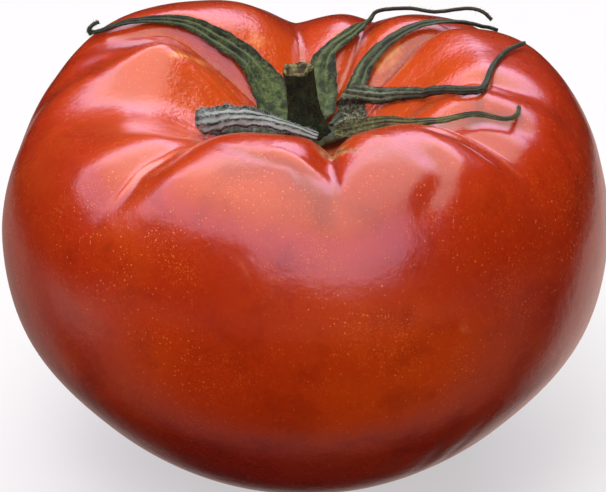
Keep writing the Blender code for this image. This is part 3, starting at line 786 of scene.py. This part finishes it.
def skin_material():
    """Glossy red skin: orange undertone, gold flecks, painted shade in the creases, painted
    highlight on the ridges, cork and scars.
    """
    material, n, shader = new_material("tomato_skin_look")
    place = n.put("ShaderNodeTexCoord", 3)
    painted_crease_shade, pale_and_highlight, cork, yellow, pit, shoulder = (
        n.mask(name) for name in ("painted_crease_shade", "pale_and_highlight", "cork", "yellow", "pit", "shoulder"))
    broad = n.noise(place, 28.0, 3.0, 0.55)
    blotch = n.noise(place, 140.0, 4.0, 0.6)
    grain = n.noise(place, 1300.0, 3.0, 0.6)
    colour = n.mix(n.band(broad, 0.42, 0.68), RED, ORANGE)
    colour = n.mix(n.times(n.band(blotch, 0.50, 0.72), 0.55), colour, DEEP_RED)
    colour = n.mix(n.times(n.band(grain, 0.45, 0.75), 0.25), colour, ORANGE)
    colour = n.mix(n.times(shoulder, 0.60), colour, (0.54, 0.078, 0.005))
    colour = n.mix(n.times(pit, 0.75), colour, (0.42, 0.095, 0.015))
    # painted shade along the creases and hollows
    colour = n.mix(n.times(painted_crease_shade, 0.75), colour, (0.17, 0.016, 0.006))
    # pale scars and spots, and painted highlight along the ridges
    colour = n.mix(n.times(pale_and_highlight, 0.45), colour, (0.72, 0.22, 0.10))
    # gold flecks: small dots, thicker in some patches than in others
    cells = n.put("ShaderNodeTexVoronoi", 0, {"feature": "F1"}, Vector=place, Scale=FLECK_CELLS)
    pick = n.put("ShaderNodeSeparateColor", 0, None, Color=cells.node.outputs[1])
    patches = n.band(n.noise(place, 60.0, 3.0, 0.6), 0.30, 0.60)
    radius = n.times(n.math("POWER", pick, 1.3), 0.35)
    dot = n.band(n.math("SUBTRACT", radius, cells), 0.0, 0.16)
    fleck = n.times(dot, n.times(patches, 0.9))
    colour = n.mix(n.times(fleck, 0.62), colour, (0.74, 0.22, 0.03))
    # much finer dust between them, in smaller patches
    grit = n.put("ShaderNodeTexVoronoi", 0, {"feature": "F1"}, Vector=place, Scale=DUST_CELLS)
    drift = n.band(n.noise(place, 95.0, 4.0, 0.65), 0.46, 0.66)
    dust = n.times(n.band(grit, 0.34, 0.12), drift)
    colour = n.mix(n.times(dust, 0.60), colour, (0.68, 0.18, 0.02))
    colour = n.mix(n.times(yellow, 0.8), colour, (0.78, 0.42, 0.09))
    bark = n.mix(n.band(n.noise(place, 900.0, 4.0, 0.7), 0.4, 0.65),
                 (0.14, 0.045, 0.012), (0.44, 0.20, 0.06))
    colour = n.mix(n.band(cork, 0.25, 0.75, 0.0, 0.9), colour, bark)
    link(n, colour, shader, "Base Color")
    rough = n.plus(n.times(n.noise(place, 200.0, 3.0, 0.6), 0.16), 0.20)
    rough = n.plus(rough, n.times(fleck, 0.10))
    rough = n.plus(rough, n.times(cork, 0.35))
    link(n, n.plus(rough, n.times(pit, 0.12)), shader, "Roughness")
    coarse = n.plus(n.times(shoulder, 0.50), 0.08)
    height = n.times(n.noise(place, 1500.0, 2.0, 0.6), coarse)
    pores = n.bump(height, 0.6, 0.0003)
    waves = n.bump(n.noise(place, 260.0, 3.0, 0.6), 0.16, 0.0006, pores)
    dots = n.bump(fleck, 0.25, 0.00012, waves)
    crust = n.bump(n.times(cork, n.noise(place, 1500.0, 3.0, 0.7)), 0.6, 0.0003, dots)
    link(n, crust, shader, "Normal")
    link(n, crust, shader, "Coat Normal")
    set_plain(shader, IOR=1.45, Subsurface_Weight=0.30, Subsurface_Radius=(1.0, 0.22, 0.06),
              Subsurface_Scale=0.003, Coat_Weight=1.0, Coat_IOR=1.58, Coat_Roughness=0.20,
              Specular_IOR_Level=0.15)
    return material


def sepal_material(name, young, leaf, dark, light, tip, wool, veins):
    """Dried leaf: mottled, with dark veins and edges, a paler woolly nap in patches, and pale
    streaks between the veins that are partly painted highlight.
    """
    material, n, shader = new_material(name)
    place = n.put("ShaderNodeTexCoord", 3)
    across, along, upper, hair = (n.mask(mask) for mask in ("across", "along", "upper", "hair"))
    blotch = n.noise(place, 420.0, 4.0, 0.65)
    grain = n.noise(place, 2600.0, 3.0, 0.7)
    leaf = n.mix(n.band(along, 0.10, 0.34), young, leaf)
    bright = n.band(n.noise(place, 1300.0, 4.0, 0.75), 0.48, 0.66, 0.0, 0.5)
    leaf = n.mix(n.times(bright, n.band(along, 0.45, 0.15)), leaf, light)
    colour = n.mix(n.band(blotch, 0.46, 0.64, 0.0, 0.8), leaf, dark)
    lines = n.math("SINE", n.plus(n.times(across, veins), n.times(blotch, 2.5 + 4.5 * wool)))
    drier = n.band(along, 0.12, 0.40, 0.12, 1.0)
    dark_lines = n.band(lines, 0.10, 0.85, 0.0, 0.95 - 0.6 * wool)
    colour = n.mix(n.times(dark_lines, drier), colour, dark)
    # pale streaks between the dark veins: partly the leaf's pale ribs, partly painted highlight on
    # them
    pale_and_highlight = n.band(n.times(lines, -1.0), 0.45, 1.0, 0.0, 0.32 + 0.42 * wool)
    colour = n.mix(n.times(pale_and_highlight, drier), colour, light)
    edge = n.plus(n.math("ABSOLUTE", across), n.times(blotch, 0.3))
    colour = n.mix(n.band(edge, 0.80, 1.04, 0.0, 0.92), colour, dark)
    nap = n.times(n.band(grain, 0.42, 0.62), n.band(blotch, 0.62, 0.40))
    colour = n.mix(n.times(nap, wool), colour, light)
    streak = n.times(n.band(along, 0.42, 0.66, 0.0, 0.9), n.band(lines, 0.9, -0.2))
    colour = n.mix(streak, colour, tip)
    colour = n.mix(n.times(hair, 0.75), colour, light)
    colour = n.mix(n.times(n.math("SUBTRACT", 1.0, upper), 0.3), colour, dark)
    link(n, colour, shader, "Base Color")
    link(n, n.plus(n.times(grain, 0.3), 0.50), shader, "Roughness")
    fuzz = n.bump(grain, 0.5, 0.0002)
    ribs = n.bump(lines, 0.35, 0.0002, fuzz)
    link(n, ribs, shader, "Normal")
    set_plain(shader, Sheen_Weight=0.05, Sheen_Roughness=0.5, Sheen_Tint=(0.75, 0.85, 0.75, 1.0),
              Specular_IOR_Level=0.2)
    return material


def stalk_material():
    """Near-black green bark with pale fuzz, and a straw-coloured cut end."""
    material, n, shader = new_material("stalk_look")
    place = n.put("ShaderNodeTexCoord", 3)
    cut, height, hair = (n.mask(mask) for mask in ("cut", "height", "hair"))
    blotch = n.noise(place, 380.0, 4.0, 0.65)
    grain = n.noise(place, 2400.0, 3.0, 0.7)
    colour = n.mix(n.band(blotch, 0.40, 0.66), (0.004, 0.006, 0.003), (0.016, 0.024, 0.009))
    colour = n.mix(n.band(grain, 0.55, 0.75, 0.0, 0.4), colour, (0.07, 0.09, 0.045))
    colour = n.mix(n.times(hair, 0.6), colour, (0.12, 0.15, 0.07))
    straw = n.mix(n.band(n.noise(place, 900.0, 4.0, 0.7), 0.38, 0.62),
                  (0.020, 0.018, 0.008), (0.16, 0.14, 0.055))
    colour = n.mix(n.band(cut, 0.2, 0.7), colour, straw)
    colour = n.mix(n.band(height, 1.35, 1.8, 0.0, 0.8), colour, (0.05, 0.035, 0.015))
    link(n, colour, shader, "Base Color")
    link(n, n.plus(n.times(grain, 0.3), 0.55), shader, "Roughness")
    link(n, n.bump(grain, 0.6, 0.0003), shader, "Normal")
    set_plain(shader, Specular_IOR_Level=0.12)
    return material


def disc_material():
    """Brown-green disc under the stalk."""
    material, n, shader = new_material("disc_look")
    place = n.put("ShaderNodeTexCoord", 3)
    upper = n.mask("upper")
    blotch = n.noise(place, 500.0, 4.0, 0.65)
    colour = n.mix(n.band(blotch, 0.38, 0.62), (0.010, 0.012, 0.005), (0.036, 0.048, 0.015))
    colour = n.mix(n.band(upper, 0.45, 0.30), colour, (0.050, 0.026, 0.012))
    link(n, colour, shader, "Base Color")
    link(n, n.plus(n.times(blotch, 0.3), 0.5), shader, "Roughness")
    link(n, n.bump(n.noise(place, 1600.0, 3.0, 0.7), 0.6, 0.0003), shader, "Normal")
    return material


# --- studio ---
CAMERA_PLACE = (0.0, -0.4332, 0.2426)
CAMERA_AIM = (-0.00032, 0.00056, 0.03718)
CAMERA_LENS = 178.8


def make_camera():
    """The view of the picture: from the front, about 25 degrees above the table."""
    data = bpy.data.cameras.new("camera")
    camera = bpy.data.objects.new("camera", data)
    bpy.context.scene.collection.objects.link(camera)
    camera.location = CAMERA_PLACE
    aim = Vector(CAMERA_AIM) - camera.location
    camera.rotation_euler = aim.to_track_quat("-Z", "Y").to_euler()
    data.lens = CAMERA_LENS
    data.sensor_width = 36.0
    data.clip_start = 0.01
    data.clip_end = 50.0
    bpy.context.scene.camera = camera


# lower edge of the bright part of the studio: (azimuth from the front, + to the right; elevation)
LIT_ABOVE = (
    (-180, 28), (-150, 38), (-120, 30), (-104, 22), (-73, 25), (-37, 28), (-13, 13), (9, 7),
    (30, 8), (42, 20), (50, 37), (62, 50), (100, 54), (125, 44), (150, 32), (180, 26),
)
FRONT_LIGHT = 1.75
TOP_LIGHT = 2.4
KEY_WATTS = 7.5
TOP_WATTS = 2.0


def make_world():
    """A soft studio: bright overhead and in front, dim to the right and under the table."""
    world = bpy.data.worlds.new("studio")
    bpy.context.scene.world = world
    world.use_nodes = True
    tree = world.node_tree
    tree.nodes.clear()
    n = Nodes(tree)
    direction = n.put("ShaderNodeTexCoord", 0)
    split = tree.nodes.new("ShaderNodeSeparateXYZ")
    tree.links.new(direction, split.inputs[0])
    x, y, z = split.outputs
    azimuth = n.math("ARCTAN2", x, n.times(y, -1.0))
    share = n.plus(n.math("DIVIDE", azimuth, 2.0 * math.pi), 0.5)
    curve = tree.nodes.new("ShaderNodeFloatCurve")
    tree.links.new(share, curve.inputs["Value"])
    line = curve.mapping.curves[0]
    knots = [((at + 180.0) / 360.0, math.sin(math.radians(up))) for at, up in LIT_ABOVE]
    line.points[0].location = knots[0]
    line.points[-1].location = knots[-1]
    for knot in knots[1:-1]:
        line.points.new(*knot)
    curve.mapping.update()
    over = n.math("SUBTRACT", z, curve.outputs[0])
    lit = n.band(over, -0.02, 0.07)
    high = n.band(z, 0.75, 1.0, FRONT_LIGHT, TOP_LIGHT)
    # a brighter window, high behind
    window_height = n.math("ABSOLUTE", n.math("SUBTRACT", z, 0.69))
    window = n.times(n.band(window_height, 0.20, 0.12), n.band(y, 0.30, 0.50))
    level = n.plus(high, n.times(window, 1.5))
    dim = n.band(z, -0.35, 0.05, 0.008, 0.015)
    # the table behind, on both sides, throws back light that only grazing angles show
    rim_height = n.times(n.band(z, -0.21, -0.31), n.band(z, -0.80, -0.55))
    rim = n.times(n.band(n.math("ABSOLUTE", azimuth), 1.95, 2.2), rim_height)
    side = n.band(x, -0.5, 0.5, 0.28, 0.70)
    dim = n.plus(dim, n.times(rim, side))
    # and so does a strip of it on the left
    left_height = n.band(n.math("ABSOLUTE", n.plus(z, 0.38)), 0.20, 0.05)
    left = n.times(n.band(n.math("ABSOLUTE", n.plus(azimuth, 1.4)), 0.75, 0.25), left_height)
    dim = n.plus(dim, n.times(left, 0.45))
    # warm light that the table throws back on the front of the fruit
    bounce = n.times(n.band(z, 0.0, -0.35), n.band(y, 0.3, -0.5))
    strength = n.plus(n.times(lit, level), n.plus(dim, n.times(bounce, 0.5)))
    cool = n.mix(n.band(n.math("ABSOLUTE", n.math("SUBTRACT", z, 0.35)), 0.30, 0.50),
                 (1.14, 0.92, 1.36), (1.0, 0.97, 0.93))
    pink = n.mix(rim, cool, (1.0, 0.66, 0.58))
    warm = n.mix(bounce, pink, (1.0, 0.16, 0.03))
    background = tree.nodes.new("ShaderNodeBackground")
    tree.links.new(warm, background.inputs["Color"])
    tree.links.new(strength, background.inputs["Strength"])
    output = tree.nodes.new("ShaderNodeOutputWorld")
    tree.links.new(background.outputs[0], output.inputs["Surface"])


def add_plain(name, points, faces, material):
    """A stage piece from points in metres."""
    mesh = bpy.data.meshes.new(name)
    mesh.from_pydata(points, [], faces)
    mesh.polygons.foreach_set("use_smooth", [True] * len(mesh.polygons))
    mesh.materials.append(material)
    thing = bpy.data.objects.new(name, mesh)
    bpy.context.scene.collection.objects.link(thing)
    thing.visible_diffuse = False
    thing.visible_glossy = False
    return thing


def make_stage():
    """A plain pale floor and a plain pale wall all round it, far away."""
    paint, _, shader = new_material("floor_paint")
    set_plain(shader, Base_Color=(0.24, 0.242, 0.228, 1.0), Emission_Color=(1.0, 1.0, 1.0, 1.0),
              Emission_Strength=0.52, Roughness=0.9, Specular_IOR_Level=0.0)
    reach, sides = 3.0, 64
    ring = [(reach * math.cos(2 * math.pi * k / sides), reach * math.sin(2 * math.pi * k / sides))
            for k in range(sides)]
    add_plain("floor", [(x, y, 0.0) for x, y in ring], [tuple(range(sides))], paint)
    wall_paint = bpy.data.materials.new("wall_paint")
    wall_paint.use_nodes = True
    tree = wall_paint.node_tree
    tree.nodes.clear()
    glow = tree.nodes.new("ShaderNodeEmission")
    glow.inputs["Color"].default_value = (0.88, 0.88, 0.88, 1.0)
    output = tree.nodes.new("ShaderNodeOutputMaterial")
    tree.links.new(glow.outputs[0], output.inputs["Surface"])
    points = [(x, y, 0.0) for x, y in ring] + [(x, y, 2.0) for x, y in ring]
    wall = add_plain("wall", points, ring_faces(2, sides), wall_paint)
    wall.visible_shadow = False


def make_lamp(name, place, size, watts):
    """A soft square panel turned to the fruit, which does not show in the gloss."""
    data = bpy.data.lights.new(name, "AREA")
    data.shape = "SQUARE"
    data.size = size
    data.energy = watts
    lamp = bpy.data.objects.new(name, data)
    lamp.location = place
    aim = Vector((0.0, 0.0, 0.04)) - lamp.location
    lamp.rotation_euler = aim.to_track_quat("-Z", "Y").to_euler()
    lamp.visible_glossy = False
    bpy.context.scene.collection.objects.link(lamp)


def make_lights():
    """A key panel high in front on the left, and a weak one overhead."""
    make_lamp("key", (-0.18, -0.62, 1.02), 0.5, KEY_WATTS)
    make_lamp("overhead", (-0.1, 0.25, 1.1), 0.8, TOP_WATTS)


LEAF = {"thick": 0.55, "cup": 0.13, "curl": 0.10, "ragged": 0.14, "ridge": 0.10, "veins": 3.0,
        "fine": 0.14, "hair": 0.42, "hair_radius": 0.02, "hairs": 900, "edge_hairs": 0.5}
# (name, length in mm, seed, changes to the look, young, leaf, dark, light, tip, wool, veins)
LOOKS = (
    ("sepal_back_left", 46.0, 1.3, {}, (0.044, 0.074, 0.013), (0.022, 0.036, 0.012),
     (0.004, 0.007, 0.003), (0.150, 0.190, 0.070), (0.014, 0.016, 0.009), 0.35, 9.0),
    ("sepal_back", 62.0, 2.7, {"ridge": 0.13}, (0.042, 0.070, 0.017), (0.034, 0.054, 0.016),
     (0.006, 0.009, 0.004), (0.135, 0.170, 0.068), (0.030, 0.016, 0.010), 0.35, 8.0),
    ("sepal_back_right", 40.0, 3.9, {"ridge": 0.16}, (0.020, 0.034, 0.014),
     (0.030, 0.046, 0.018), (0.004, 0.007, 0.004), (0.130, 0.165, 0.080),
     (0.045, 0.054, 0.030), 0.35, 6.0),
    ("sepal_right", 60.0, 5.1, {"ridge": 0.18}, (0.026, 0.016, 0.007), (0.058, 0.080, 0.036),
     (0.005, 0.007, 0.004), (0.250, 0.285, 0.175), (0.030, 0.034, 0.018), 0.55, 10.0),
    ("sepal_front_right", 36.0, 6.4, {"ridge": 0.18}, (0.034, 0.034, 0.012),
     (0.074, 0.090, 0.026), (0.006, 0.007, 0.003), (0.220, 0.240, 0.100),
     (0.034, 0.036, 0.018), 0.45, 10.0),
    ("sepal_front_left", 36.0, 7.6, {"hairs": 3400, "fine": 0.3, "ragged": 0.2},
     (0.060, 0.090, 0.024), (0.045, 0.070, 0.026), (0.008, 0.012, 0.009), (0.30, 0.34, 0.30),
     (0.32, 0.36, 0.33), 0.95, 9.0),
)

bpy.context.scene.view_settings.view_transform = "Standard"
make_camera()
make_world()
make_stage()
make_lights()
make_fruit(skin_material())
SKIN = skin_tree()
for name, length, seed, changes, *colours in LOOKS:
    look = {**LEAF, **changes, "length": length, "seed": seed}
    surface = sepal_material(name + "_look", *colours)
    make_sepal(name, SEPALS[name], SKIN, look, surface)
make_stalk(stalk_material())
make_disc(disc_material())
